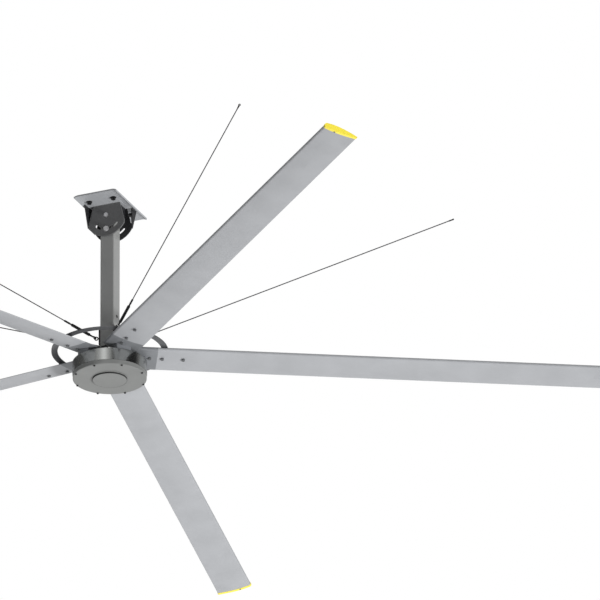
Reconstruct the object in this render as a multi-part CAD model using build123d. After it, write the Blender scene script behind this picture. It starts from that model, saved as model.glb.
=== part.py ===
"""Industrial ceiling fan with five long blades, an outer-rotor hub motor and a square downrod.

All sizes are millimetres. The origin is the centre of the base plate's top face, where the
plate meets the ceiling; +Z points up, so the fan hangs towards -Z. The flat sides of the
square downrod face X and Y, and the rod tilts about Y at the ceiling bracket.
"""
from build123d import *
from math import cos, radians, sin, sqrt
import os

# Whole fan
tip_radius = 3050.0
rod_side = 80.0
rod_wall = 5.0
rod_corner = 6.0
blade_plane_drop = 880.0
fit_gap = 0.1
seat_gap = 0.02
running_gap = 0.05

# Ceiling bracket
plate_thick = 8.0
plate_flat_half = 95.0
plate_length = 400.0
plate_corner = 8.0
lip_radius = 60.0
lip_angle = 30.0
stud_pitch_x = 140.0
stud_pitch_y = 230.0
stud_radius = 6.0
stud_core_radius = 5.8
stud_above = 40.0
stud_below = 22.0
side_groove_x = 88.0
side_groove_y = 44.0
side_groove_length = 66.0
side_groove_width = 8.0
side_groove_depth = 3.0
pivot_drop = 71.0
cheek_gap = 2.0
cheek_thick = 8.0
cheek_top_half = 77.0
cheek_half = 103.0
cheek_shoulder_drop = 112.0
cheek_arc_radius = 119.0
lock_radius = 80.0
lock_slot_half_angle = 48.0
lock_slot_width = 14.0
web_thick = 6.0
web_clear = 6.0
gusset_thick = 6.0
gusset_reach = 47.0
rod_above_pivot = 40.0
pivot_bolt_radius = 8.0
lock_bolt_radius = 6.0
bolt_head_flats = 22.0
bolt_head_height = 9.0
bolt_washer_radius = 15.0
bolt_washer_thick = 3.0
friction_washer_radius = 22.0
pivot_sleeve_radius = 11.0

# Foot of the rod and the fixed shaft
foot_radius = 62.0
foot_thick = 12.0
foot_above_blades = 42.0
foot_bolt_circle = 51.0
foot_bolt_radius = 4.0
cable_hole_radius = 7.0
cable_hole_above_blades = 229.0
shaft_radius = 30.0
shaft_bore_radius = 9.0
shaft_end_radius = 25.0
shaft_thread_radius = 22.5
shaft_nut_radius = 33.0
shaft_nut_thick = 8.0

# Guy wires: direction in plan from +X, climb above level, height above the blade plane
# at which the wire's line meets the fan's axis, and horizontal reach of the far end.
guy_lines = [
    {"bearing": -37.2, "climb": 28.9, "rise": 94.0, "reach": 1429.0},
    {"bearing": 29.15, "climb": 24.7, "rise": 41.0, "reach": 1827.0},
    {"bearing": 142.9, "climb": 27.0, "rise": 46.0, "reach": 1641.0},
    {"bearing": -150.9, "climb": 30.1, "rise": 62.0, "reach": 1413.0},
]
wire_radius = 3.0
strap_thick = 12.0
strap_narrow = 30.0
strap_wide = 46.0
strap_low = 68.0
strap_high = 156.0
eye_clear = 11.0
eye_radius = 9.0
eye_wire = 3.0
hook_radius = 9.0
hook_wire = 3.2
hook_turn = 295.0
link_gap = 0.3
screw_radius = 4.5
screw_end_from_eye = 88.0
barrel_from_eye = 40.0
barrel_length = 112.0
barrel_radius = 8.0
far_screw_from_eye = 118.0
swage_from_eye = 164.0
swage_length = 32.0
swage_radius = 5.2
terminal_radius = 3.6
terminal_width = 13.0
terminal_thick = 4.0
terminal_hole = 3.2
terminal_length = 24.0

# Hub motor
hub_radius = 198.0
hub_height = 92.0
hub_top_below_blades = 36.5
cover_rim_height = 25.0
cover_step = 2.0
cover_bevel = 5.0
cover_wall = 10.0
drum_wall = 16.0
boss_radius = 91.0
boss_height = 9.0
boss_hollow_radius = 40.0
boss_hollow_depth = 7.0
collar_wall = 12.0
cover_screw_circle = 189.5
cover_screw_count = 8
cover_screw_turn = -1.0
cover_screw_radius = 3.0
cover_screw_head = 5.5
cover_screw_head_height = 5.0
cover_screw_bite = 14.0
upper_bearing = {"bore": 30.0, "outer": 47.5, "width": 18.0, "ball": 5.4, "count": 14}
lower_bearing = {"bore": 25.0, "outer": 40.0, "width": 16.0, "ball": 4.9, "count": 13}
groove_gap = 0.1
upper_bearing_below_top = 5.5
seal_outer = 42.0
seal_thick = 5.0
stator_height = 24.0
stator_spider_radius = 70.0
stator_yoke_radius = 102.0
stator_tip_inner = 163.0
stator_teeth = 20
tooth_width = 14.0
tip_width = 42.0
air_gap = 1.5
coil_side = 6.0
coil_end = 8.0
magnet_thick = 8.0
magnet_count = 24
magnet_share = 0.9

# Blades
blade_count = 5
first_blade_bearing = 29.6
blade_pitch = 13.0
chord = 185.0
nose_radius = 11.0
tail_radius = 2.5
crest_up = 16.0
crest_down = 13.0
crest_from_nose = 62.0
shoulder_from_tail = 62.0
skin = 2.5
web_from_middle = -8.0
blade_root = 250.0
holder_start = 128.0
spigot_length = 180.0
spigot_gap = 0.3
pad_end = 192.0
pad_width = 84.0
bolt_offset = 20.0
blade_bolt_radii = [276.0, 388.0]
rim_bolt_radius = 209.0
blade_bolt_shank = 6.0
blade_bolt_head = 9.0
blade_bolt_head_height = 8.0
hub_bolt_radii = [148.0, 176.0]
hub_bolt_pocket = 12.0
hub_bolt_seat_below = 4.0
cap_length = 17.0
cap_end = 5.0
cap_skin = 1.8
cap_screw_radius = 2.0
cap_screw_head = 4.5
cap_screw_from_nose = 62.0
ring_outer = 310.0
ring_width = 33.0
ring_thick = 6.0
ring_above_blades = 31.0
ring_bolt_radius = 4.0
ring_spacer_side = 26.0

# Heights worked out from the sizes above
blade_z = -blade_plane_drop
pivot_z = -pivot_drop
cheek_outer_y = rod_side / 2 + cheek_gap + cheek_thick
cheek_inner_y = rod_side / 2 + cheek_gap
foot_top = blade_z + foot_above_blades
foot_low = foot_top - foot_thick
hub_top = blade_z - hub_top_below_blades
hub_low = hub_top - hub_height
drum_low = hub_low + cover_rim_height
drum_high = hub_top - cover_wall
stator_mid = (drum_low + drum_high) / 2 - stator_height / 4
upper_bearing_top = hub_top - upper_bearing_below_top
upper_bearing_low = upper_bearing_top - upper_bearing["width"]
cover_floor = hub_low + cover_wall
lower_bearing_low = cover_floor + 3.5
lower_bearing_top = lower_bearing_low + lower_bearing["width"]
magnet_inner = hub_radius - drum_wall - magnet_thick
stator_outer = magnet_inner - air_gap
rod_top = pivot_z + rod_above_pivot
ring_low = blade_z + ring_above_blades


def disc(radius, low, high):
    """Cylinder about the fan's axis between two heights."""
    return Pos(0, 0, low) * Cylinder(radius, high - low, align=(Align.CENTER, Align.CENTER, Align.MIN))


def annulus(outer, inner, low, high):
    return disc(outer, low, high) - disc(inner, low - 1, high + 1)


def rod(start, end, radius):
    """Round bar between two points."""
    line = Vector(*end) - Vector(*start)
    plane = Plane(origin=start, z_dir=line)
    return plane * Cylinder(radius, line.length, align=(Align.CENTER, Align.CENTER, Align.MIN))


def block(low, high):
    """Box between two corners."""
    size = [b - a for a, b in zip(low, high)]
    return Pos(*low) * Box(*size, align=(Align.MIN, Align.MIN, Align.MIN))


def hexagon(flats, start, end):
    """Hexagon bar between two points."""
    line = Vector(*end) - Vector(*start)
    return Plane(origin=start, z_dir=line) * extrude(RegularPolygon(flats / sqrt(3), 6), line.length)


def around(shape, angles):
    return [Rot(0, 0, angle) * shape for angle in angles]


def save(name, shapes):
    """Write one node; several pieces in one node stay separate solids."""
    pieces = shapes if isinstance(shapes, list) else [shapes]
    solids = [solid for piece in pieces for solid in piece.solids()]
    export_step(Compound(children=solids) if len(solids) > 1 else solids[0], f"parts/{name}.step")


# Ceiling bracket

def base_plate():
    """Flat plate whose long sides curl down, with stud holes and two pressed grooves."""
    lip = radians(90 - lip_angle)
    inner = lip_radius - plate_thick
    right_end = (plate_flat_half + lip_radius * cos(lip), -lip_radius + lip_radius * sin(lip))
    right_inner = (plate_flat_half + inner * cos(lip), -lip_radius + inner * sin(lip))
    outline = [Line((-plate_flat_half, 0), (plate_flat_half, 0)),
               CenterArc((plate_flat_half, -lip_radius), lip_radius, 90, -lip_angle),
               Line(right_end, right_inner),
               CenterArc((plate_flat_half, -lip_radius), inner, 90 - lip_angle, lip_angle),
               Line((plate_flat_half, -plate_thick), (-plate_flat_half, -plate_thick)),
               CenterArc((-plate_flat_half, -lip_radius), inner, 90, lip_angle),
               Line((-right_inner[0], right_inner[1]), (-right_end[0], right_end[1])),
               CenterArc((-plate_flat_half, -lip_radius), lip_radius, 90 + lip_angle, -lip_angle)]
    section = Plane.XZ * make_face(Wire(outline))
    plate = extrude(section, plate_length / 2, both=True)
    plan = RectangleRounded(2 * right_end[0] + 2, plate_length, plate_corner)
    plate &= Pos(0, 0, -lip_radius) * extrude(plan, 2 * lip_radius)
    for x in (-stud_pitch_x / 2, stud_pitch_x / 2):
        for y in (-stud_pitch_y / 2, stud_pitch_y / 2):
            plate -= Pos(x, y, 0) * Cylinder(stud_radius + fit_gap, 3 * plate_thick)
    groove = extrude(SlotOverall(side_groove_length, side_groove_width, rotation=90), side_groove_depth)
    for side in (-1, 1):
        plate -= Pos(side * side_groove_x, -side * side_groove_y, -plate_thick) * groove
    return plate


def studs():
    """Ceiling studs, each with its hexagon nut below the plate."""
    washer_low = -plate_thick - bolt_washer_thick
    nut_low = washer_low - stud_radius * 1.7
    pieces = []
    for x in (-stud_pitch_x / 2, stud_pitch_x / 2):
        for y in (-stud_pitch_y / 2, stud_pitch_y / 2):
            stud = rod((x, y, 0), (x, y, stud_above), stud_radius)
            stud += rod((x, y, -stud_below), (x, y, 0), stud_core_radius)
            nut = hexagon(bolt_head_flats, (x, y, nut_low), (x, y, washer_low))
            pieces.append(stud + nut)
    return pieces


def stud_washers():
    low = -plate_thick - bolt_washer_thick
    washer = annulus(bolt_washer_radius, stud_radius + fit_gap, low, -plate_thick)
    return [Pos(x, y) * washer for x in (-stud_pitch_x / 2, stud_pitch_x / 2)
            for y in (-stud_pitch_y / 2, stud_pitch_y / 2)]


def cheek(side):
    """Upright plate beside the rod, with a pivot hole and an arc slot for the lock bolt."""
    drop = sqrt(cheek_arc_radius ** 2 - cheek_half ** 2)
    shoulder = -cheek_shoulder_drop
    corner = pivot_z - drop
    outline = Polyline((-cheek_half, corner), (-cheek_half, shoulder), (-cheek_top_half, -plate_thick),
                       (cheek_top_half, -plate_thick), (cheek_half, shoulder), (cheek_half, corner))
    bottom = ThreePointArc((cheek_half, corner), (0, pivot_z - cheek_arc_radius), (-cheek_half, corner))
    face = make_face([*outline.edges(), *bottom.edges()])
    slot_arc = CenterArc((0, pivot_z), lock_radius, -90 - lock_slot_half_angle, 2 * lock_slot_half_angle)
    face -= SlotArc(slot_arc, lock_slot_width)
    face -= Pos(0, pivot_z) * Circle(pivot_bolt_radius + fit_gap)
    y_start = cheek_outer_y if side > 0 else -cheek_inner_y
    return Pos(0, y_start, 0) * extrude(Plane.XZ * face, cheek_thick)


def side_wall(inner_y):
    """Upright wall at the cheeks' left edge, with a gusset that reaches out under the plate."""
    low = -cheek_shoulder_drop - (cheek_arc_radius - cheek_half)
    profile = Polyline((-cheek_outer_y - gusset_reach, -plate_thick), (inner_y, -plate_thick),
                       (inner_y, low), (-cheek_outer_y, low), close=True)
    wall = extrude(Plane.YZ * make_face(profile), gusset_thick)
    return Pos(-cheek_half - gusset_thick, 0, 0) * wall - base_plate()


def stiffeners():
    """Two webs between the cheeks above the pivot, and the gusset outside the rear cheek."""
    web_x = sqrt((rod_side / 2) ** 2 + rod_above_pivot ** 2) + web_clear
    web = block((web_x, -cheek_inner_y, pivot_z), (web_x + web_thick, cheek_inner_y, -plate_thick))
    return [*around(web, (0, 180)), Rot(0, 0, 180) * side_wall(-cheek_inner_y)]


def cross_bolt(z, radius, under_head):
    """Hexagon bolt along Y; the head is in front and its face sits at under_head."""
    front = -under_head
    head = hexagon(bolt_head_flats, (0, front - bolt_head_height, z), (0, front, z))
    return head + rod((0, front, z), (0, under_head + bolt_head_height + 3, z), radius)


def cross_nut(z, radius, under_head):
    nut = hexagon(bolt_head_flats, (0, under_head, z), (0, under_head + bolt_head_height, z))
    return nut - rod((0, under_head - 1, z), (0, under_head + 3 * bolt_head_height, z), radius + seat_gap)


def cross_washers(z, bore, outer, inner_y, thick):
    washer = rod((0, inner_y, z), (0, inner_y + thick, z), outer)
    washer -= rod((0, inner_y - 1, z), (0, inner_y + thick + 1, z), bore)
    return [washer, mirror(washer, Plane.XZ)]


# Downrod

def downrod():
    shell = RectangleRounded(rod_side, rod_side, rod_corner)
    shell -= RectangleRounded(rod_side - 2 * rod_wall, rod_side - 2 * rod_wall, rod_corner / 2)
    tube = Pos(0, 0, foot_top) * extrude(shell, rod_top - foot_top)
    reach = rod_side
    tube -= rod((0, -reach, pivot_z), (0, reach, pivot_z), pivot_sleeve_radius + seat_gap)
    tube -= rod((0, -reach, pivot_z - lock_radius), (0, reach, pivot_z - lock_radius), lock_bolt_radius + fit_gap)
    hole_z = blade_z + cable_hole_above_blades
    return tube - rod((0, 0, hole_z), (reach, 0, hole_z), cable_hole_radius)


def pivot_sleeve():
    half = rod_side / 2
    sleeve = rod((0, -half, pivot_z), (0, half, pivot_z), pivot_sleeve_radius)
    return sleeve - rod((0, -half - 1, pivot_z), (0, half + 1, pivot_z), pivot_bolt_radius + running_gap)


def rod_foot():
    foot = annulus(foot_radius, cable_hole_radius, foot_low, foot_top)
    for x, y in foot_bolt_places():
        foot -= rod((x, y, foot_low - 1), (x, y, foot_top + 1), foot_bolt_radius + fit_gap)
    return foot


def foot_bolt_places():
    return [(foot_bolt_circle * cos(radians(a)), foot_bolt_circle * sin(radians(a))) for a in (0, 90, 180, 270)]


def foot_bolts():
    pieces = []
    for x, y in foot_bolt_places():
        head = hexagon(foot_bolt_radius * 3.2, (x, y, foot_top), (x, y, foot_top + foot_bolt_radius * 1.6))
        pieces.append(head + rod((x, y, foot_low - foot_thick + 2), (x, y, foot_top), foot_bolt_radius))
    return pieces


def straps():
    """Anchor strap on each X face of the rod; the wires hook on to it."""
    low, high = blade_z + strap_low, blade_z + strap_high
    strap = block((rod_side / 2, -strap_wide, low), (rod_side / 2 + strap_thick, strap_narrow, high))
    strap = fillet(strap.edges().filter_by(Axis.X), 5)
    return around(strap, (0, 180))


def guy_plane(line):
    """Plane whose x runs out along the wire, from the point where its line meets the axis."""
    flat = Vector(cos(radians(line["bearing"])), sin(radians(line["bearing"])), 0)
    along = flat * cos(radians(line["climb"])) + Vector(0, 0, 1) * sin(radians(line["climb"]))
    up = Vector(0, 0, 1) * cos(radians(line["climb"])) - flat * sin(radians(line["climb"]))
    return Plane(origin=(0, 0, blade_z + line["rise"]), x_dir=along, z_dir=up)


def eye_distance(line):
    """Distance along the wire at which the eye just clears the strap's face."""
    face = rod_side / 2 + strap_thick
    return (face + eye_clear) / (abs(cos(radians(line["bearing"]))) * cos(radians(line["climb"])))


def guy_length(line):
    return line["reach"] / cos(radians(line["climb"]))


def wire_eye(line):
    """Welded eye on the strap: a ring in the wire's upright plane and a level shank."""
    plane = guy_plane(line)
    distance = eye_distance(line)
    ring = plane * (Pos(distance, 0, 0) * Rot(90, 0, 0) * Torus(eye_radius, eye_wire))
    centre = plane.from_local_coords(Vector(distance, 0, 0))
    flat = Vector(cos(radians(line["bearing"])), sin(radians(line["bearing"])), 0)
    face_x = rod_side / 2 + strap_thick
    start = centre - flat * eye_radius
    back = start - flat * (abs(start.X) - face_x + 2 * strap_thick)
    shank = rod(tuple(back), tuple(start), eye_wire + 0.5)
    side = 1 if start.X > 0 else -1
    keep_out = block((-face_x, -rod_side, blade_z), (face_x, rod_side, blade_z + 2 * strap_high))
    shank -= keep_out
    pieces = [solid for solid in (shank + ring).solids() if solid.center().X * side > 0]
    return max(pieces, key=lambda solid: solid.volume)


def hook_centre(line):
    return eye_distance(line) + eye_radius - (eye_wire + hook_wire + link_gap) + hook_radius


def turnbuckle_hook(line):
    """Open hook through the eye, and the threaded rod behind it."""
    centre = hook_centre(line)
    screw_end = eye_distance(line) + screw_end_from_eye
    arc = CenterArc((centre, 0), hook_radius, 0, hook_turn)
    start = Plane(origin=arc @ 0, z_dir=arc % 0)
    hook = sweep(start * Circle(hook_wire), arc)
    tip = Pos(*tuple(arc @ 1)) * Sphere(hook_wire)
    bar = rod((centre + hook_radius - 1, 0, 0), (screw_end, 0, 0), screw_radius)
    return guy_plane(line) * (hook + tip + bar)


def barrel(line):
    start = eye_distance(line) + barrel_from_eye
    end = start + barrel_length
    middle = (start + end) / 2
    body = rod((start, 0, 0), (end, 0, 0), barrel_radius)
    body -= rod((start - 1, 0, 0), (end + 1, 0, 0), screw_radius + running_gap)
    body = chamfer(body.edges().filter_by(GeomType.CIRCLE).group_by(SortBy.RADIUS)[-1], 1.2)
    grip = rod((middle, 0, -barrel_radius * 2), (middle, 0, barrel_radius * 2), screw_radius * 0.6)
    return guy_plane(line) * (body - grip)


def swage_end(line):
    return eye_distance(line) + swage_from_eye + swage_length


def wire_fittings(line):
    """Outer threaded rod with its swage, and the flat terminal at the ceiling end."""
    screw_start = eye_distance(line) + far_screw_from_eye
    swage_start = eye_distance(line) + swage_from_eye
    near = rod((screw_start, 0, 0), (swage_start, 0, 0), screw_radius)
    near += rod((swage_start, 0, 0), (swage_end(line), 0, 0), swage_radius)
    end = guy_length(line)
    start = end - terminal_length
    sleeve = rod((start, 0, 0), (end - terminal_width / 2, 0, 0), terminal_radius)
    tab = Pos(end, 0, 0) * Cylinder(terminal_width / 2, terminal_thick)
    tab += block((end - terminal_width, -terminal_radius, -terminal_thick / 2),
                 (end, terminal_radius, terminal_thick / 2))
    tab -= Pos(end, 0, 0) * Cylinder(terminal_hole, 2 * terminal_thick)
    clip = Pos(end, 0, 0) * Cylinder(terminal_hole, 6 * terminal_thick)
    return [guy_plane(line) * near, guy_plane(line) * (sleeve + tab - clip)]


def wire(line):
    return guy_plane(line) * rod((swage_end(line), 0, 0), (guy_length(line) - terminal_length, 0, 0), wire_radius)


# Hub motor

def motor_shaft():
    """Fixed hollow shaft: top flange, spider for the stator, bearing seats and nut thread."""
    half = stator_height / 2
    shaft = disc(foot_radius, foot_low - foot_thick, foot_low) + disc(shaft_radius, lower_bearing_top, foot_low)
    shaft += disc(stator_spider_radius, stator_mid - half, stator_mid + half)
    shaft += disc(shaft_end_radius, lower_bearing_low, lower_bearing_top)
    shaft += disc(shaft_thread_radius, lower_bearing_low - shaft_nut_thick - 1, lower_bearing_low)
    shaft -= disc(shaft_bore_radius, hub_low, foot_top)
    hole_place = (shaft_radius + stator_spider_radius) / 2
    for angle in range(0, 360, 60):
        shaft -= Rot(0, 0, angle) * Pos(hole_place, 0, stator_mid) * Cylinder(hole_place / 5, 2 * stator_height)
    for x, y in foot_bolt_places():
        shaft -= rod((x, y, foot_low - foot_thick - 1), (x, y, foot_low + 1), foot_bolt_radius + fit_gap)
    return shaft


def shaft_nut():
    low = lower_bearing_low - shaft_nut_thick
    return annulus(shaft_nut_radius, shaft_thread_radius + seat_gap, low, lower_bearing_low)


def stator_core():
    half = stator_height / 2
    core = annulus(stator_yoke_radius, stator_spider_radius + seat_gap, stator_mid - half, stator_mid + half)
    tooth = block((stator_yoke_radius - 2, -tooth_width / 2, stator_mid - half),
                  (stator_tip_inner + 1, tooth_width / 2, stator_mid + half))
    tip = annulus(stator_outer, stator_tip_inner, stator_mid - half, stator_mid + half)
    tip &= block((0, -tip_width / 2, stator_mid - half), (stator_outer + 1, tip_width / 2, stator_mid + half))
    for angle in range(stator_teeth):
        core += Rot(0, 0, angle * 360 / stator_teeth) * (tooth + tip)
    return core


def stator_coils():
    half = stator_height / 2
    start, end = stator_yoke_radius + 1, stator_tip_inner - 1
    coil = block((start, -tooth_width / 2 - coil_side, stator_mid - half - coil_end),
                 (end, tooth_width / 2 + coil_side, stator_mid + half + coil_end))
    coil = fillet(coil.edges().filter_by(Axis.X), coil_side * 0.8)
    coil -= block((start - 1, -tooth_width / 2 - fit_gap, stator_mid - half - fit_gap),
                  (end + 1, tooth_width / 2 + fit_gap, stator_mid + half + fit_gap))
    return around(coil, [k * 360 / stator_teeth for k in range(stator_teeth)])


def race(bearing, low, inner):
    """Inner or outer bearing ring with its ball groove."""
    pitch = (bearing["bore"] + bearing["outer"]) / 2
    high = low + bearing["width"]
    land = bearing["ball"] * 0.7
    if inner:
        ring = annulus(pitch - land, bearing["bore"] + seat_gap, low, high)
    else:
        ring = annulus(bearing["outer"] - seat_gap, pitch + land, low, high)
    return ring - Pos(0, 0, (low + high) / 2) * Torus(pitch, bearing["ball"] + groove_gap)


def balls(bearing, low):
    """Balls in their pressed cage; every ball is its own solid in a pocket of the cage."""
    pitch = (bearing["bore"] + bearing["outer"]) / 2
    middle = low + bearing["width"] / 2
    half = bearing["ball"] * 0.7
    cage = annulus(pitch + 1.5, pitch - 1.5, middle - half, middle + half)
    angles = [k * 360 / bearing["count"] for k in range(bearing["count"])]
    pieces = around(Pos(pitch, 0, middle) * Sphere(bearing["ball"]), angles)
    for angle in angles:
        cage -= Rot(0, 0, angle) * Pos(pitch, 0, middle) * Sphere(bearing["ball"] + groove_gap)
    return [*pieces, *cage.solids()]


def drum():
    shell = annulus(hub_radius, hub_radius - drum_wall, drum_low, drum_high)
    for angle in bottom_screw_angles():
        shell -= Rot(0, 0, angle) * screw_hole(drum_low - 1, drum_low + cover_screw_bite)
    for angle in top_screw_angles():
        shell -= Rot(0, 0, angle) * screw_hole(drum_high - cover_screw_bite, drum_high + 1)
    return shell


def screw_hole(low, high):
    return Pos(cover_screw_circle, 0, 0) * disc(cover_screw_radius + fit_gap, low, high)


def bottom_screw_angles():
    return [cover_screw_turn + k * 360 / cover_screw_count for k in range(cover_screw_count)]


def top_screw_angles():
    step = 360 / blade_count
    middles = [first_blade_bearing + (k + 0.5) * step for k in range(blade_count)]
    return [middle + side * step / 8 for middle in middles for side in (-1, 1)]


def top_cover():
    """Rotating plate that carries the blade holders, with the upper bearing's collar below."""
    bearing = upper_bearing
    cover = disc(hub_radius, drum_high, hub_top)
    cover += disc(bearing["outer"] + collar_wall, upper_bearing_low - 4, drum_high)
    cover -= disc(bearing["outer"], upper_bearing_low, upper_bearing_top)
    cover -= disc(bearing["outer"] - 3, upper_bearing_low - 5, upper_bearing_low)
    cover -= disc(seal_outer, upper_bearing_top, hub_top + 1)
    for angle in top_screw_angles():
        cover -= Rot(0, 0, angle) * screw_hole(drum_high - 1, hub_top + 1)
    for angle in blade_bearings():
        for radius in hub_bolt_radii:
            hole = disc(blade_bolt_shank + fit_gap, drum_high - 1, hub_top + 1)
            cover -= Rot(0, 0, angle) * Pos(radius, 0, 0) * hole
    return cover


def bottom_cover():
    """Cap under the hub: bevelled rim, flat face, round raised boss and bearing collar."""
    rim_radius = hub_radius - cover_step
    cover = disc(rim_radius, hub_low, drum_low)
    cover = chamfer(cover.edges().group_by(Axis.Z)[0], cover_bevel * 0.4, cover_bevel)
    cover -= disc(hub_radius - drum_wall, cover_floor, drum_low + 1)
    boss = disc(boss_radius, hub_low - boss_height, hub_low)
    cover += fillet(boss.edges().group_by(Axis.Z)[0], 2)
    cover += disc(lower_bearing["outer"] + collar_wall, cover_floor, lower_bearing_top + 2)
    cover -= disc(lower_bearing["outer"], lower_bearing_low, lower_bearing_top + 3)
    cover -= disc(boss_hollow_radius - 3, cover_floor - boss_hollow_depth, lower_bearing_low)
    for angle in bottom_screw_angles():
        cover -= Rot(0, 0, angle) * screw_hole(hub_low - 1, drum_low + 1)
    return cover


def cover_screws():
    """Screws of both covers: eight from below, ten from above."""
    below = cover_screw(hub_low, drum_low + cover_screw_bite - 2, -1)
    above = cover_screw(hub_top, drum_high - cover_screw_bite + 2, 1)
    return [*around(below, bottom_screw_angles()), *around(above, top_screw_angles())]


def cover_screw(seat, tip, direction):
    x = cover_screw_circle
    end = seat + direction * cover_screw_head_height
    head = rod((x, 0, seat), (x, 0, end), cover_screw_head)
    head = fillet(head.edges().group_by(Axis.Z)[-1 if direction > 0 else 0], 1.5)
    head -= hexagon(cover_screw_radius * 1.2, (x, 0, end), (x, 0, end - direction * 3))
    return head + rod((x, 0, tip), (x, 0, seat), cover_screw_radius)


def shaft_seal():
    return annulus(seal_outer - seat_gap, shaft_radius + running_gap, hub_top - seal_thick, hub_top)


def magnets():
    half = stator_height / 2 + 4
    outer = hub_radius - drum_wall - seat_gap
    span = 360 / magnet_count * magnet_share
    sector = CenterArc((0, 0), (outer + magnet_inner) / 2, -span / 2, span)
    start = Plane(origin=sector @ 0, z_dir=sector % 0, x_dir=(0, 0, 1))
    magnet = sweep(start * Rectangle(2 * half, outer - magnet_inner), sector)
    return around(Pos(0, 0, stator_mid) * magnet, [k * 360 / magnet_count for k in range(magnet_count)])


# Blades

def blade_bearings():
    return [first_blade_bearing + k * 360 / blade_count for k in range(blade_count)]


def blade_section(inset):
    """Rounded nose at -X, thin tail at +X. A positive inset shrinks the outline."""
    nose_x = -chord / 2 + nose_radius
    nose = nose_radius - inset
    tail = max(tail_radius - inset, tail_radius / 2)
    tail_x = chord / 2 - tail_radius - (7 * inset if inset > 0 else 0)
    crest_x = -chord / 2 + crest_from_nose
    shoulder_x = chord / 2 - shoulder_from_tail
    up, down = crest_up - inset, crest_down - inset
    upper = Spline((nose_x, nose), (crest_x, up), (shoulder_x, up * 0.78), (tail_x, tail),
                   tangents=((1, 0.2), (1, -0.2)))
    lower = Spline((tail_x, -tail), (shoulder_x, -down * 0.76), (crest_x, -down), (nose_x, -nose),
                   tangents=((-1, -0.12), (-1, 0.08)))
    front = ThreePointArc((nose_x, -nose), (nose_x - nose, 0), (nose_x, nose))
    back = ThreePointArc((tail_x, tail), (tail_x + tail, 0), (tail_x, -tail))
    return make_face([upper, back, lower, front])


def pitched_plane(radius):
    """Section plane of the blade on +X: x towards the tail, y up, turned by the pitch."""
    pitch = radians(blade_pitch)
    return Plane(origin=(radius, 0, blade_z), x_dir=(0, cos(pitch), -sin(pitch)), z_dir=(1, 0, 0))


def span(inset, start, end):
    return extrude(pitched_plane(start) * blade_section(inset), end - start)


def web_slab(start, end, thick):
    slab = Pos(web_from_middle, 0, 0) * Box(thick, chord, end - start, align=(Align.CENTER, Align.CENTER, Align.MIN))
    return pitched_plane(start) * slab


def blade():
    """Hollow extrusion with one inner web, open at both ends."""
    end = tip_radius - cap_end
    cavity = span(skin, blade_root - 1, end + 1) - web_slab(blade_root - 2, end + 2, skin)
    body = span(0, blade_root, end) - cavity
    for radius in blade_bolt_radii:
        body -= skin_bolt_hole(radius)
    return body - ring_bolt_hole() - cap_screw_hole()


def pitched_rod(radius, x, low, high, bar_radius):
    """Bar square to the blade's face at one radius, x from mid-chord, between two heights."""
    bar = Pos(x, 0, 0) * Rot(-90, 0, 0) * Cylinder(bar_radius, high - low, align=(Align.CENTER, Align.CENTER, Align.MIN))
    return pitched_plane(radius) * (Pos(0, low, 0) * bar)


def lower_face_depth(x, half_width, inset=0):
    """Greatest depth of the lower face below the chord line, under a bolt head."""
    probe = Pos(x, 0) * Rectangle(2 * half_width, 4 * crest_down) & blade_section(inset)
    return -probe.bounding_box().min.Y


def skin_bolt_hole(radius):
    return pitched_rod(radius, -bolt_offset, -2 * crest_down, 0, blade_bolt_shank + fit_gap)


def skin_bolt(radius):
    seat = -lower_face_depth(-bolt_offset, blade_bolt_head)
    head_low = seat - blade_bolt_head_height
    bolt = pitched_rod(radius, -bolt_offset, head_low, seat, blade_bolt_head)
    return bolt + pitched_rod(radius, -bolt_offset, seat, -0.5, blade_bolt_shank)


def hub_bolt(radius):
    seat = blade_z - hub_bolt_seat_below
    head = hexagon(1.8 * blade_bolt_head, (radius, 0, seat), (radius, 0, seat + blade_bolt_head_height))
    return head + rod((radius, 0, drum_high + 1), (radius, 0, seat), blade_bolt_shank)


def blade_holder():
    """Solid root casting: the blade's outline over the hub, a pad on the hub, a slotted spigot."""
    body = span(0, holder_start, blade_root)
    pad = block((holder_start, -pad_width / 2, hub_top), (pad_end, pad_width / 2, blade_z))
    body += fillet(pad.edges().filter_by(Axis.Z), 8)
    spigot = span(skin + spigot_gap, blade_root - 1, blade_root + spigot_length)
    slit = web_slab(blade_root, blade_root + spigot_length + 1, skin + 2 * spigot_gap)
    body += spigot - slit
    for radius in [rim_bolt_radius, *blade_bolt_radii]:
        body -= skin_bolt_hole(radius)
    for radius in hub_bolt_radii:
        seat = blade_z - hub_bolt_seat_below
        body -= rod((radius, 0, hub_top - 1), (radius, 0, seat + 1), blade_bolt_shank + fit_gap)
        body -= rod((radius, 0, seat), (radius, 0, blade_z + chord), hub_bolt_pocket)
    return body - ring_bolt_hole()


def blade_bolts():
    bolts = [skin_bolt(radius) for radius in [rim_bolt_radius, *blade_bolt_radii]]
    bolts += [hub_bolt(radius) for radius in hub_bolt_radii]
    return [piece for bolt in bolts for piece in around(bolt, blade_bearings())]


def tip_cap():
    """End cap: a face with a short sleeve over the blade's end."""
    start = tip_radius - cap_length
    cap = span(-cap_skin, start, tip_radius)
    cap -= span(-fit_gap, start - 1, tip_radius - cap_end)
    return cap - cap_screw_hole()


def cap_screw_place():
    return tip_radius - cap_length + cap_screw_head + 1, -chord / 2 + cap_screw_from_nose


def cap_screw_hole():
    radius, x = cap_screw_place()
    return pitched_rod(radius, x, -2 * crest_down, -crest_down + 2 * skin, cap_screw_radius + fit_gap)


def cap_screw():
    radius, x = cap_screw_place()
    seat = -lower_face_depth(x, cap_screw_head, -cap_skin)
    screw = pitched_rod(radius, x, seat - 2, seat, cap_screw_head)
    return screw + pitched_rod(radius, x, seat, seat + cap_skin + skin + 2, cap_screw_radius)


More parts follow.
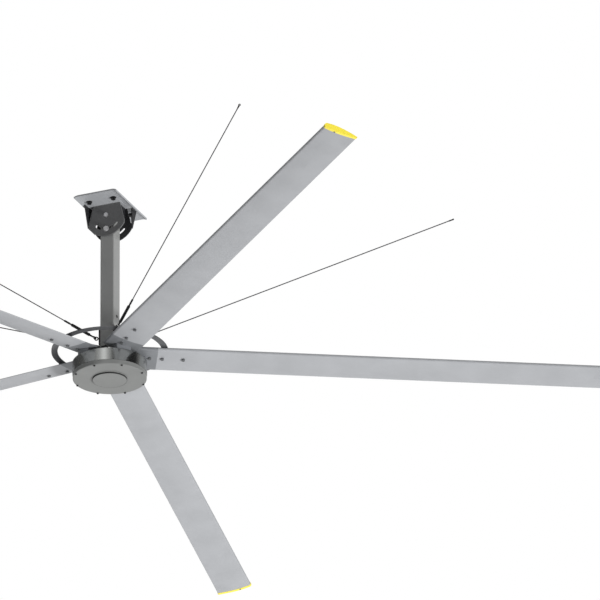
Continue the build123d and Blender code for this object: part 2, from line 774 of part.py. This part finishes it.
def safety_ring():
    ring = annulus(ring_outer, ring_outer - ring_width, ring_low, ring_low + ring_thick)
    middle = ring_outer - ring_width / 2
    for angle in blade_bearings():
        ring -= Rot(0, 0, angle) * Pos(middle, 0, ring_low) * Cylinder(ring_bolt_radius + fit_gap, 3 * ring_thick)
    return ring


def ring_spacer():
    """Block between the blade's upper face and the ring."""
    middle = ring_outer - ring_width / 2
    half = ring_spacer_side / 2
    spacer = block((middle - half, -half, blade_z), (middle + half, half, ring_low))
    spacer -= span(0, blade_root, ring_outer)
    top = max(spacer.solids(), key=lambda solid: solid.center().Z)
    return top - Pos(middle, 0, 0) * disc(ring_bolt_radius + fit_gap, blade_z, ring_low + 1)


def ring_bolt_hole():
    middle = ring_outer - ring_width / 2
    return Pos(middle, 0, 0) * disc(ring_bolt_radius + fit_gap, blade_z - 2, blade_z + chord / 4)


def ring_bolt():
    middle = ring_outer - ring_width / 2
    top = ring_low + ring_thick
    head = hexagon(3.2 * ring_bolt_radius, (middle, 0, top), (middle, 0, top + ring_bolt_radius * 1.4))
    return head + rod((middle, 0, blade_z), (middle, 0, top), ring_bolt_radius)


def build():
    os.makedirs("parts", exist_ok=True)
    outer = cheek_outer_y
    save("base_plate", base_plate())
    save("ceiling_studs", studs())
    save("stud_washers", stud_washers())
    save("front_cheek", cheek(-1))
    save("rear_cheek", cheek(1))
    save("cheek_stiffeners", stiffeners())
    save("side_wall", side_wall(cheek_inner_y))
    save("pivot_bolt", cross_bolt(pivot_z, pivot_bolt_radius, outer))
    save("pivot_nut", cross_nut(pivot_z, pivot_bolt_radius, outer))
    save("friction_washers", cross_washers(pivot_z, pivot_bolt_radius + fit_gap, friction_washer_radius,
                                           rod_side / 2 + running_gap, cheek_gap - 2 * running_gap))
    lock_z = pivot_z - lock_radius
    lock_seat = outer + running_gap + bolt_washer_thick
    save("lock_bolt", cross_bolt(lock_z, lock_bolt_radius, lock_seat))
    save("lock_nut", cross_nut(lock_z, lock_bolt_radius, lock_seat))
    save("lock_washers", cross_washers(lock_z, lock_bolt_radius + fit_gap, bolt_washer_radius,
                                       outer + running_gap, bolt_washer_thick))
    save("downrod", downrod())
    save("pivot_sleeve", pivot_sleeve())
    save("rod_foot", rod_foot())
    save("foot_bolts", foot_bolts())
    save("anchor_straps", straps())
    save("wire_eyes", [wire_eye(line) for line in guy_lines])
    save("turnbuckle_hooks", [turnbuckle_hook(line) for line in guy_lines])
    for number, line in enumerate(guy_lines, 1):
        save(f"turnbuckle_barrel_{number}", barrel(line))
        save(f"wire_fittings_{number}", wire_fittings(line))
        save(f"guy_wire_{number}", wire(line))
    save("motor_shaft", motor_shaft())
    save("shaft_nut", shaft_nut())
    save("stator_core", stator_core())
    save("stator_coils", stator_coils())
    for name, bearing, low in (("upper", upper_bearing, upper_bearing_low),
                               ("lower", lower_bearing, lower_bearing_low)):
        save(f"{name}_inner_race", race(bearing, low, True))
        save(f"{name}_outer_race", race(bearing, low, False))
        save(f"{name}_balls", balls(bearing, low))
    save("rotor_drum", drum())
    save("top_cover", top_cover())
    save("bottom_cover", bottom_cover())
    save("cover_screws", cover_screws())
    save("shaft_seal", shaft_seal())
    save("rotor_magnets", magnets())
    one_blade = blade()
    for number, angle in enumerate(blade_bearings(), 1):
        save(f"blade_{number}", Rot(0, 0, angle) * one_blade)
    save("blade_holders", around(blade_holder(), blade_bearings()))
    save("blade_bolts", blade_bolts())
    save("tip_caps", around(tip_cap(), blade_bearings()))
    save("cap_screws", around(cap_screw(), blade_bearings()))
    save("safety_ring", safety_ring())
    save("ring_spacers", around(ring_spacer(), blade_bearings()))
    save("ring_bolts", around(ring_bolt(), blade_bearings()))


build()
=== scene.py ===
import bpy
import numpy as np
from mathutils import Matrix, Vector


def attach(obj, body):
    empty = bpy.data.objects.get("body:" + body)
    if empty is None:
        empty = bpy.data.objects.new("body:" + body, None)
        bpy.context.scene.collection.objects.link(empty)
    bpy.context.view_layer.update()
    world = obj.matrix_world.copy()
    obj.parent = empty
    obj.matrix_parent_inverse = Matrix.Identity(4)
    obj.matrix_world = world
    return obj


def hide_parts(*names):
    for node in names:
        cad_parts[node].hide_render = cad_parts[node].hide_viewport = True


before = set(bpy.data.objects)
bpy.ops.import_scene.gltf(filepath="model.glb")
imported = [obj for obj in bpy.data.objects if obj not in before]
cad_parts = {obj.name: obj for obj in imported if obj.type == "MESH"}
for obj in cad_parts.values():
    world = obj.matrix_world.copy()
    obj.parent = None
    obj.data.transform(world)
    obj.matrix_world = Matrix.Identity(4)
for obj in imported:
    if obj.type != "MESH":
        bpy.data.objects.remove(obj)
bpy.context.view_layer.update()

scene = bpy.context.scene
scene.view_settings.view_transform = "Standard"
print("frame loaded:", len(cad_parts), "nodes")

# Camera: a very long lens a long way off, because the photograph has no perspective.
shot = {"azimuth": 24.0, "elevation": -25.0, "lens": 1600.0, "sensor": 36.0, "width": 3.177,
        "bladePlane": -0.88, "right": 1.0071, "above": 0.3018}


def addCamera(s):
    turn, tilt = np.radians(s["azimuth"]), np.radians(s["elevation"])
    back = Vector((np.sin(turn) * np.cos(tilt), -np.cos(turn) * np.cos(tilt), np.sin(tilt)))
    right = Vector((np.cos(turn), np.sin(turn), 0))
    up = back.cross(right)
    target = Vector((0, 0, s["bladePlane"])) + right * s["right"] + up * s["above"]
    data = bpy.data.cameras.new("camera")
    data.lens, data.sensor_width, data.clip_end = s["lens"], s["sensor"], 1000
    camera = bpy.data.objects.new("camera", data)
    scene.collection.objects.link(camera)
    rotation = Matrix((right, up, back)).transposed().to_4x4()
    distance = s["width"] * s["lens"] / s["sensor"]
    camera.matrix_world = Matrix.Translation(target + back * distance) @ rotation
    scene.camera = camera


addCamera(shot)
print("camera placed")

# Mesh helpers. Every surface is a grid of points worked out as whole arrays.


def newPiece(name, points, faces, material, body, smooth=True):
    mesh = bpy.data.meshes.new(name)
    mesh.from_pydata(points.reshape(-1, 3).tolist(), [], faces.tolist() if hasattr(faces, "tolist") else faces)
    mesh.polygons.foreach_set("use_smooth", np.full(len(mesh.polygons), smooth))
    mesh.materials.append(material)
    piece = bpy.data.objects.new(name, mesh)
    scene.collection.objects.link(piece)
    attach(piece, body)
    return piece


# Quads of a grid of rows by columns, joined round where asked.
def gridFaces(rows, columns, closeRows=False, closeColumns=True, start=0):
    i, j = np.meshgrid(np.arange(rows if closeRows else rows - 1),
                       np.arange(columns if closeColumns else columns - 1), indexing="ij")
    a, b = i * columns + j, i * columns + (j + 1) % columns
    c, d = ((i + 1) % rows) * columns + (j + 1) % columns, ((i + 1) % rows) * columns + j
    return np.stack([a, b, c, d], axis=-1).reshape(-1, 4) + start


# Two unit vectors square to a direction and to each other.
def basis(direction):
    along = np.array(direction) / np.linalg.norm(direction)
    side = np.cross((0, 0, 1), along)
    side = np.array((1.0, 0, 0)) if np.linalg.norm(side) < 1e-6 else side / np.linalg.norm(side)
    return along, side, np.cross(along, side)


# Round bar: ring i of radius radii[i], evenly spaced from start to end.
def tubeGrid(start, end, radii, sides):
    start, end = np.array(start, float), np.array(end, float)
    along, side, up = basis(end - start)
    t = np.linspace(0, 1, len(radii))[:, None, None]
    angle = np.linspace(0, 2 * np.pi, sides, endpoint=False)[None, :, None]
    ring = np.cos(angle) * side + np.sin(angle) * up
    return start + (end - start) * t + np.asarray(radii)[:, None, None] * ring


# Adds one face over each end of a tube.
def capped(faces, rows, columns, start=0):
    first = list(range(start, start + columns))[::-1]
    last = list(range(start + (rows - 1) * columns, start + rows * columns))
    return faces.tolist() + [first, last]


def joinTubes(name, grids, material, body):
    points, faces, start = [], [], 0
    for grid in grids:
        rows, columns = grid.shape[:2]
        points.append(grid.reshape(-1, 3))
        faces += capped(gridFaces(rows, columns, start=start), rows, columns, start)
        start += rows * columns
    return newPiece(name, np.concatenate(points), faces, material, body)


# Finishes. Colours are linear; grain is how often the fine marks repeat per metre on each axis.
finishes = {
    "plateGrey": {"color": (0.345, 0.355, 0.37), "metal": 0.0, "rough": 0.42, "grain": (900, 900, 900), "depth": 0.04,
                  "mottle": 0.05, "coat": 0.15},
    "bracketGrey": {"color": (0.115, 0.116, 0.118), "metal": 0.0, "rough": 0.45, "grain": (900, 900, 900),
                    "depth": 0.05, "mottle": 0.08, "coat": 0.15},
    # Near-black painted shade: this colour stands in for the shadow between and behind the bracket's cheeks, not for
    # their own paint.
    "paintedShadeGrey": {"color": (0.02, 0.02, 0.022), "metal": 0.0, "rough": 0.5, "grain": (900, 900, 900),
                   "depth": 0.05, "mottle": 0.1, "coat": 0.1},
    "blackSteel": {"color": (0.012, 0.012, 0.013), "metal": 0.3, "rough": 0.42, "grain": (1500, 1500, 1500),
                   "depth": 0.05, "mottle": 0.2, "coat": 0.0},
    "boltGrey": {"color": (0.16, 0.165, 0.17), "metal": 0.6, "rough": 0.4, "grain": (1400, 1400, 1400),
                 "depth": 0.04, "mottle": 0.12, "coat": 0.0},
    "brightZinc": {"color": (0.72, 0.72, 0.73), "metal": 0.85, "rough": 0.32, "grain": (1200, 1200, 1200),
                   "depth": 0.03, "mottle": 0.08, "coat": 0.0},
    "rodGrey": {"color": (0.32, 0.325, 0.32), "metal": 0.0, "rough": 0.4, "grain": (700, 700, 60), "depth": 0.03,
                "mottle": 0.04, "coat": 0.15},
    "rootAluminium": {"color": (0.25, 0.26, 0.275), "metal": 0.35, "rough": 0.45, "grain": (500, 500, 500),
                      "depth": 0.06, "mottle": 0.08, "coat": 0.0},
    "capYellow": {"color": (1.0, 0.84, 0.08), "metal": 0.0, "rough": 0.35, "grain": (800, 800, 800), "depth": 0.02,
                  "mottle": 0.03, "coat": 0.2},
    "turnedMetal": {"color": (0.42, 0.43, 0.42), "metal": 1.0, "rough": 0.2, "grain": (12, 12, 1800),
                    "depth": 0.03, "mottle": 0.06, "coat": 0.0},
    "coverGrey": {"color": (0.22, 0.225, 0.22), "metal": 0.15, "rough": 0.4, "grain": (900, 900, 900),
                  "depth": 0.03, "mottle": 0.04, "coat": 0.15},
    "ringGrey": {"color": (0.14, 0.143, 0.15), "metal": 0.5, "rough": 0.38, "grain": (700, 700, 700),
                 "depth": 0.03, "mottle": 0.1, "coat": 0.0},
    "wireGrey": {"color": (0.11, 0.11, 0.115), "metal": 0.5, "rough": 0.5, "grain": (2500, 2500, 2500),
                 "depth": 0.04, "mottle": 0.1, "coat": 0.0},
    "groundSteel": {"color": (0.6, 0.6, 0.6), "metal": 1.0, "rough": 0.22, "grain": (20, 20, 1500), "depth": 0.02,
                    "mottle": 0.04, "coat": 0.0},
    "copperEnamel": {"color": (0.55, 0.2, 0.07), "metal": 0.8, "rough": 0.35, "grain": (300, 300, 2200),
                     "depth": 0.12, "mottle": 0.15, "coat": 0.0},
    "nickelBlack": {"color": (0.09, 0.09, 0.1), "metal": 0.7, "rough": 0.35, "grain": (900, 900, 900),
                    "depth": 0.02, "mottle": 0.06, "coat": 0.0},
    "sealRubber": {"color": (0.02, 0.02, 0.02), "metal": 0.0, "rough": 0.7, "grain": (1400, 1400, 1400),
                   "depth": 0.06, "mottle": 0.1, "coat": 0.0},
}
bladeFinish = {"color": (0.42, 0.43, 0.448), "metal": 0.2, "rough": 0.42, "grain": (4, 900, 900), "depth": 0.03,
               "mottle": 0.05, "coat": 0.0}


# Shared by every finish: the noise's middle part is spread over the whole range of shade and gloss.
grainShape = {"detail": 4, "patchScale": 7.0, "patchDetail": 5, "low": 0.3, "high": 0.7, "glossLow": 0.85,
              "glossHigh": 1.2, "bumpGain": 4, "bumpHeight": 0.0002}


# Grain noise drives bump and roughness; a slow noise shifts the colour a little.
def makeFinish(name, f, turn=0.0):
    g = grainShape
    material = bpy.data.materials.new(name)
    material.use_nodes = True
    nodes, links = material.node_tree.nodes, material.node_tree.links
    shader = nodes["Principled BSDF"]
    shader.inputs["Metallic"].default_value = f["metal"]
    shader.inputs["Coat Weight"].default_value = f["coat"]
    place = nodes.new("ShaderNodeTexCoord")
    turned = nodes.new("ShaderNodeMapping")
    turned.inputs["Rotation"].default_value = (0, 0, -turn)
    stretched = nodes.new("ShaderNodeMapping")
    stretched.inputs["Scale"].default_value = f["grain"]
    grain = nodes.new("ShaderNodeTexNoise")
    grain.inputs["Scale"].default_value = 1.0
    grain.inputs["Detail"].default_value = g["detail"]
    patches = nodes.new("ShaderNodeTexNoise")
    patches.inputs["Scale"].default_value = g["patchScale"]
    patches.inputs["Detail"].default_value = g["patchDetail"]
    shade = nodes.new("ShaderNodeMapRange")
    shade.inputs["From Min"].default_value, shade.inputs["From Max"].default_value = g["low"], g["high"]
    shade.inputs["To Min"].default_value, shade.inputs["To Max"].default_value = 1 - f["mottle"], 1 + f["mottle"]
    tint = nodes.new("ShaderNodeVectorMath")
    tint.operation = "SCALE"
    tint.inputs[0].default_value = f["color"]
    gloss = nodes.new("ShaderNodeMapRange")
    gloss.inputs["From Min"].default_value, gloss.inputs["From Max"].default_value = g["low"], g["high"]
    gloss.inputs["To Min"].default_value = f["rough"] * g["glossLow"]
    gloss.inputs["To Max"].default_value = f["rough"] * g["glossHigh"]
    bump = nodes.new("ShaderNodeBump")
    bump.inputs["Strength"].default_value = f["depth"] * g["bumpGain"]
    bump.inputs["Distance"].default_value = g["bumpHeight"]
    links.new(place.outputs["Object"], turned.inputs["Vector"])
    links.new(turned.outputs[0], stretched.inputs["Vector"])
    links.new(stretched.outputs[0], grain.inputs["Vector"])
    links.new(turned.outputs[0], patches.inputs["Vector"])
    links.new(patches.outputs[0], shade.inputs["Value"])
    links.new(shade.outputs[0], tint.inputs["Scale"])
    links.new(tint.outputs[0], shader.inputs["Base Color"])
    links.new(grain.outputs[0], gloss.inputs["Value"])
    links.new(gloss.outputs[0], shader.inputs["Roughness"])
    links.new(grain.outputs[0], bump.inputs["Height"])
    links.new(bump.outputs[0], shader.inputs["Normal"])
    return material


finish = {name: makeFinish(name, f) for name, f in finishes.items()}
fan = {"bladeCount": 5, "firstBearing": 29.6}
for k in range(fan["bladeCount"]):
    bearing = np.radians(fan["firstBearing"] + k * 360 / fan["bladeCount"])
    finish[f"bladeGrey{k + 1}"] = makeFinish(f"bladeGrey{k + 1}", bladeFinish, bearing)

nodeFinish = {
    "plateGrey": ["base_plate"],
    "bracketGrey": ["front_cheek"],
    # Painted shade: the rear cheek, the stiffeners between the cheeks and the side wall take the near-black colour of
    # the shadow there.
    "paintedShadeGrey": ["rear_cheek", "cheek_stiffeners", "side_wall"],
    "blackSteel": ["ceiling_studs", "stud_washers", "rod_foot", "foot_bolts", "anchor_straps", "wire_eyes",
                   "turnbuckle_hooks", "cover_screws", "shaft_nut"],
    "boltGrey": ["blade_bolts", "cap_screws", "ring_bolts"],
    "brightZinc": ["pivot_bolt", "pivot_nut", "lock_bolt", "lock_nut", "lock_washers", "pivot_sleeve"],
    "rodGrey": ["downrod"],
    "rootAluminium": ["blade_holders"],
    "capYellow": ["tip_caps"],
    "turnedMetal": ["rotor_drum", "top_cover"],
    "coverGrey": ["bottom_cover"],
    "ringGrey": ["safety_ring", "ring_spacers"],
    "groundSteel": ["motor_shaft", "stator_core"],
    "copperEnamel": ["stator_coils"],
    "nickelBlack": ["rotor_magnets"],
    "sealRubber": ["shaft_seal", "friction_washers"],
}
for key in ("upper", "lower"):
    nodeFinish["groundSteel"] += [f"{key}_inner_race", f"{key}_outer_race", f"{key}_balls"]
for k in range(1, 5):
    nodeFinish["blackSteel"] += [f"turnbuckle_barrel_{k}", f"wire_fittings_{k}"]
for k in range(1, fan["bladeCount"] + 1):
    nodeFinish[f"bladeGrey{k}"] = [f"blade_{k}"]
for name, nodes in nodeFinish.items():
    for node in nodes:
        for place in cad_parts[node].material_slots:
            place.material = finish[name]
print("finishes on the CAD nodes")

# Near-black band round the wall of the hub cover's raised middle: painted shade, standing in for the shadow on that
# wall.
bossShadeBand = {"radius": 0.0912, "low": -1.0170, "high": -1.0096, "thick": 0.0003, "around": 144}


# A thin rectangle, out from the wall and up it, swept once round the Z axis.
def addBossShadeBand():
    b = bossShadeBand
    turn = np.linspace(0, 2 * np.pi, b["around"], endpoint=False)[:, None]
    out = b["radius"] + np.array([0, b["thick"], b["thick"], 0])[None, :]
    height = np.array([b["low"], b["low"], b["high"], b["high"]])[None, :] + 0 * turn
    points = np.stack([out * np.cos(turn), out * np.sin(turn), height], axis=-1)
    # Painted shade: the band takes the black rubber finish so that the wall of the raised middle reads dark.
    shadeBand = newPiece("bossShadeBand", points, gridFaces(b["around"], 4, closeRows=True), finish["sealRubber"], "rotor")


addBossShadeBand()

# Guy wires, each a seven-strand rope pulled straight. The lines repeat the part's own values.
guy = {"lines": [(-37.2, 28.9, 0.094, 1.429), (29.15, 24.7, 0.041, 1.827), (142.9, 27.0, 0.046, 1.641),
                 (-150.9, 30.1, 0.062, 1.413)],
       "eyeFace": 0.063, "swageFromEye": 0.196, "terminal": 0.024, "radius": 0.003, "pitch": 0.042,
       "ringsPerTurn": 10, "strandSides": 6, "strands": 6, "coreShare": 0.6, "coreSides": 8}


# Points where the wire leaves its swage and enters its terminal, and its direction.
def guyPlaces(bearing, climb, rise, reach):
    b, c = np.radians(bearing), np.radians(climb)
    along = np.array((np.cos(b) * np.cos(c), np.sin(b) * np.cos(c), np.sin(c)))
    base = np.array((0, 0, shot["bladePlane"] + rise))
    eye = guy["eyeFace"] / (abs(np.cos(b)) * np.cos(c))
    return base + along * (eye + guy["swageFromEye"]), base + along * (reach / np.cos(c) - guy["terminal"]), along, eye


# Helix of radius two thirds of the rope's round its axis; the strand is a third of it thick.
def strandGrid(start, end, turn):
    length = np.linalg.norm(end - start)
    along, side, up = basis(end - start)
    rings = int(length / guy["pitch"] * guy["ringsPerTurn"])
    t = np.linspace(0, 1, rings)[:, None, None]
    lay = 2 * np.pi * t * length / guy["pitch"] + turn
    outward, across = np.cos(lay) * side + np.sin(lay) * up, -np.sin(lay) * side + np.cos(lay) * up
    ring = np.linspace(0, 2 * np.pi, guy["strandSides"], endpoint=False)[None, :, None]
    strand = guy["radius"] / 3
    return start + along * length * t + outward * (2 * strand + strand * np.cos(ring)) + across * strand * np.sin(ring)


def addGuyWires():
    for k, line in enumerate(guy["lines"], 1):
        start, end, along, eye = guyPlaces(*line)
        grids = [strandGrid(start, end, turn) for turn in np.arange(guy["strands"]) * np.pi / 3]
        grids.append(tubeGrid(start, end, np.full(2, guy["radius"] * guy["coreShare"]), guy["coreSides"]))
        piece = joinTubes(f"guyWire{k}", grids, finish["wireGrey"], f"guy_{k}")
        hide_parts(f"guy_wire_{k}")


addGuyWires()
print("guy wires laid")

# Screw threads that show on the studs and on the hooks' bars. The wires' own screws slide into plain bores.
thread = {"depth": 0.00028, "lift": 0.00003, "sides": 24, "perTurn": 8}


# Radius rises and falls once per pitch, shifted round the bar so that the ridge climbs.
def threadGrid(start, end, radius, pitch):
    start, end = np.array(start, float), np.array(end, float)
    length = np.linalg.norm(end - start)
    along, side, up = basis(end - start)
    rows = int(length / pitch * thread["perTurn"])
    t = np.linspace(0, 1, rows)[:, None, None]
    angle = np.linspace(0, 2 * np.pi, thread["sides"], endpoint=False)[None, :, None]
    wave = np.abs(((t * length / pitch - angle / (2 * np.pi)) % 1) - 0.5) * 2
    bar = radius + thread["lift"] + thread["depth"] * wave
    return start + along * length * t + bar * (np.cos(angle) * side + np.sin(angle) * up)


studs = {"halfX": 0.07, "halfY": 0.115, "radius": 0.006, "top": 0.0395, "foot": 0.001,
         "pitch": 0.00175}
screws = {"radius": 0.0045, "pitch": 0.0015, "hookStart": 0.030, "barrelStart": 0.0398}


def addThreads():
    s = studs
    corners = [(x, y) for x in (-s["halfX"], s["halfX"]) for y in (-s["halfY"], s["halfY"])]
    grids = [threadGrid((x, y, s["foot"]), (x, y, s["top"]), s["radius"], s["pitch"]) for x, y in corners]
    piece = joinTubes("studThreads", grids, finish["blackSteel"], "ceiling_bracket")
    for k, line in enumerate(guy["lines"], 1):
        start, end, along, eye = guyPlaces(*line)
        centre = start - along * (eye + guy["swageFromEye"])
        low, high = [centre + along * (eye + screws[key]) for key in ("hookStart", "barrelStart")]
        inner = threadGrid(low, high, screws["radius"], screws["pitch"])
        joinTubes(f"hookThread{k}", [inner], finish["blackSteel"], "downrod_body")


addThreads()
print("threads cut")

# Weld beads where plates meet: a rounded bead with one ripple every few millimetres.
weld = {"radius": 0.0028, "ripple": 0.0045, "swell": 0.16, "perRipple": 6, "sides": 8}


# Bead radius swells and shrinks as a cosine along the run, and tapers to nothing at its ends.
def beadGrid(start, end):
    length = np.linalg.norm(np.array(end) - np.array(start))
    rows = int(length / weld["ripple"] * weld["perRipple"])
    t = np.linspace(0, 1, rows)
    swell = 1 + weld["swell"] * np.cos(2 * np.pi * t * length / weld["ripple"])
    taper = np.clip(np.minimum(t, 1 - t) * length / weld["radius"], 0.05, 1) ** 0.5
    return tubeGrid(start, end, weld["radius"] * swell * taper, weld["sides"])


bracket = {"plateLow": -0.008, "cheekTop": 0.077, "cheekOuter": 0.050, "shoulder": -0.112,
           "cheekWide": 0.103, "gussetLow": -0.126}
rodSizes = {"half": 0.040, "footTop": -0.838, "strapLow": -0.812, "strapHigh": -0.724, "strapWide": 0.046,
            "strapNarrow": 0.030, "strapEdge": 0.84, "weldInset": 0.006}


def addWelds():
    b, r = bracket, rodSizes
    grids = []
    for side in (-1, 1):
        y, low = side * b["cheekOuter"], b["plateLow"]
        grids.append(beadGrid((-b["cheekTop"], y, low), (b["cheekTop"], y, low)))
        grids.append(beadGrid((side * b["cheekWide"], y, b["shoulder"]), (side * b["cheekWide"], y, b["gussetLow"])))
    piece = joinTubes("bracketWelds", grids, finish["bracketGrey"], "ceiling_bracket")
    h, top = r["half"], r["footTop"]
    grids = [beadGrid((-h, s * h, top), (h, s * h, top)) for s in (-1, 1)]
    grids += [beadGrid((s * h, -h, top), (s * h, h, top)) for s in (-1, 1)]
    for s in (-1, 1):
        for y in (-s * r["strapWide"] * r["strapEdge"], s * r["strapNarrow"]):
            low, high = r["strapLow"] + r["weldInset"], r["strapHigh"] - r["weldInset"]
            grids.append(beadGrid((s * h, y, low), (s * h, y, high)))
    piece = joinTubes("rodWelds", grids, finish["blackSteel"], "downrod_body")


addWelds()
print("welds run")

# Rubber grommet in the cable hole on the rod's +X face.
grommet = {"height": -0.651, "face": 0.040, "radius": 0.0062, "bead": 0.0017, "around": 36, "section": 12}


# Torus lying in the rod's face: a small circle swept round the hole.
def addGrommet():
    g = grommet
    turn = np.linspace(0, 2 * np.pi, g["around"], endpoint=False)[:, None]
    ring = np.linspace(0, 2 * np.pi, g["section"], endpoint=False)[None, :]
    out = g["radius"] + g["bead"] * np.cos(ring)
    points = np.stack([g["face"] + g["bead"] * np.sin(ring) + 0 * turn, out * np.cos(turn),
                       g["height"] + out * np.sin(turn)], axis=-1)
    faces = gridFaces(g["around"], g["section"], closeRows=True)
    newPiece("cableGrommet", points, faces, finish["sealRubber"], "downrod_body")


addGrommet()

# Floor, one-sided so that the low camera looks through it, and the lights.
room = {"floorHeight": -4.2, "floorRadius": 14.0, "floorColor": (0.86, 0.86, 0.86, 1),
        "floorRough": 0.8, "floorSides": 96, "ambient": 0.2}
suns = [{"name": "keyFromBelow", "toward": (0.79, -0.12, -0.60), "strength": 2.9, "angle": 12},
        {"name": "fillFromAbove", "toward": (-0.12, -0.08, 0.99), "strength": 1.9, "angle": 20}]
glossStops = [(0.0, 0.1), (0.17, 0.25), (0.22, 0.6), (0.267, 1.3), (0.31, 0.6), (0.35, 0.1), (0.38, 0.03),
              (0.56, 0.03), (0.62, 0.35), (0.75, 0.5), (0.85, 0.3), (0.95, 0.08), (1.0, 0.1)]


def addFloor():
    angle = np.linspace(0, 2 * np.pi, room["floorSides"], endpoint=False)
    points = np.stack([np.cos(angle), np.sin(angle), np.zeros(room["floorSides"])], axis=-1) * room["floorRadius"]
    points[:, 2] = room["floorHeight"]
    material = bpy.data.materials.new("paleFloor")
    material.use_nodes = True
    nodes, links = material.node_tree.nodes, material.node_tree.links
    nodes["Principled BSDF"].inputs["Base Color"].default_value = room["floorColor"]
    nodes["Principled BSDF"].inputs["Roughness"].default_value = room["floorRough"]
    clear, mix = nodes.new("ShaderNodeBsdfTransparent"), nodes.new("ShaderNodeMixShader")
    links.new(nodes.new("ShaderNodeNewGeometry").outputs["Backfacing"], mix.inputs[0])
    links.new(nodes["Principled BSDF"].outputs[0], mix.inputs[1])
    links.new(clear.outputs[0], mix.inputs[2])
    links.new(mix.outputs[0], nodes["Material Output"].inputs["Surface"])
    mesh = bpy.data.meshes.new("floor")
    mesh.from_pydata(points.tolist(), [], [list(range(room["floorSides"]))])
    mesh.materials.append(material)
    floor = bpy.data.objects.new("floor", mesh)
    scene.collection.objects.link(floor)
    floor.visible_shadow = False


def addSuns():
    for s in suns:
        data = bpy.data.lights.new(s["name"], "SUN")
        data.energy, data.angle = s["strength"], np.radians(s["angle"])
        lamp = bpy.data.objects.new(s["name"], data)
        lamp.rotation_euler = Vector(s["toward"]).to_track_quat("Z", "Y").to_euler()
        lamp.visible_glossy = False  # the sky's bands alone show in the metal
        scene.collection.objects.link(lamp)


# White to the camera, plain grey to matt surfaces, soft bright and dark bands to metal.
def addWorld():
    world = bpy.data.worlds.new("studio")
    scene.world = world
    world.use_nodes = True
    nodes, links = world.node_tree.nodes, world.node_tree.links
    nodes.clear()
    output, path = nodes.new("ShaderNodeOutputWorld"), nodes.new("ShaderNodeLightPath")
    plain, white, bands = [nodes.new("ShaderNodeBackground") for _ in range(3)]
    plain.inputs["Strength"].default_value = room["ambient"]
    white.inputs["Color"].default_value = plain.inputs["Color"].default_value = (1, 1, 1, 1)
    place, split = nodes.new("ShaderNodeTexCoord"), nodes.new("ShaderNodeSeparateXYZ")
    turn, share = nodes.new("ShaderNodeMath"), nodes.new("ShaderNodeMapRange")
    turn.operation = "ARCTAN2"
    share.inputs["From Min"].default_value, share.inputs["From Max"].default_value = -np.pi, np.pi
    ramp = nodes.new("ShaderNodeValToRGB")
    ramp.color_ramp.interpolation = "EASE"
    for place_, level in glossStops[1:-1]:
        ramp.color_ramp.elements.new(place_).color = (level, level, level, 1)
    for k in (0, -1):
        level = glossStops[k][1]
        ramp.color_ramp.elements[k].color = (level, level, level, 1)
    links.new(place.outputs["Generated"], split.inputs[0])
    links.new(split.outputs["Y"], turn.inputs[0])
    links.new(split.outputs["X"], turn.inputs[1])
    links.new(turn.outputs[0], share.inputs["Value"])
    links.new(share.outputs[0], ramp.inputs["Fac"])
    links.new(ramp.outputs["Color"], bands.inputs["Color"])
    glossy, seen, clear = [nodes.new("ShaderNodeMixShader") for _ in range(3)]
    links.new(path.outputs["Is Glossy Ray"], glossy.inputs[0])
    links.new(plain.outputs[0], glossy.inputs[1])
    links.new(bands.outputs[0], glossy.inputs[2])
    links.new(path.outputs["Is Camera Ray"], seen.inputs[0])
    links.new(glossy.outputs[0], seen.inputs[1])
    links.new(white.outputs[0], seen.inputs[2])
    links.new(path.outputs["Is Transmission Ray"], clear.inputs[0])
    links.new(seen.outputs[0], clear.inputs[1])
    links.new(white.outputs[0], clear.inputs[2])
    links.new(clear.outputs[0], output.inputs["Surface"])


addFloor()
addSuns()
addWorld()
print("floor and lights set")
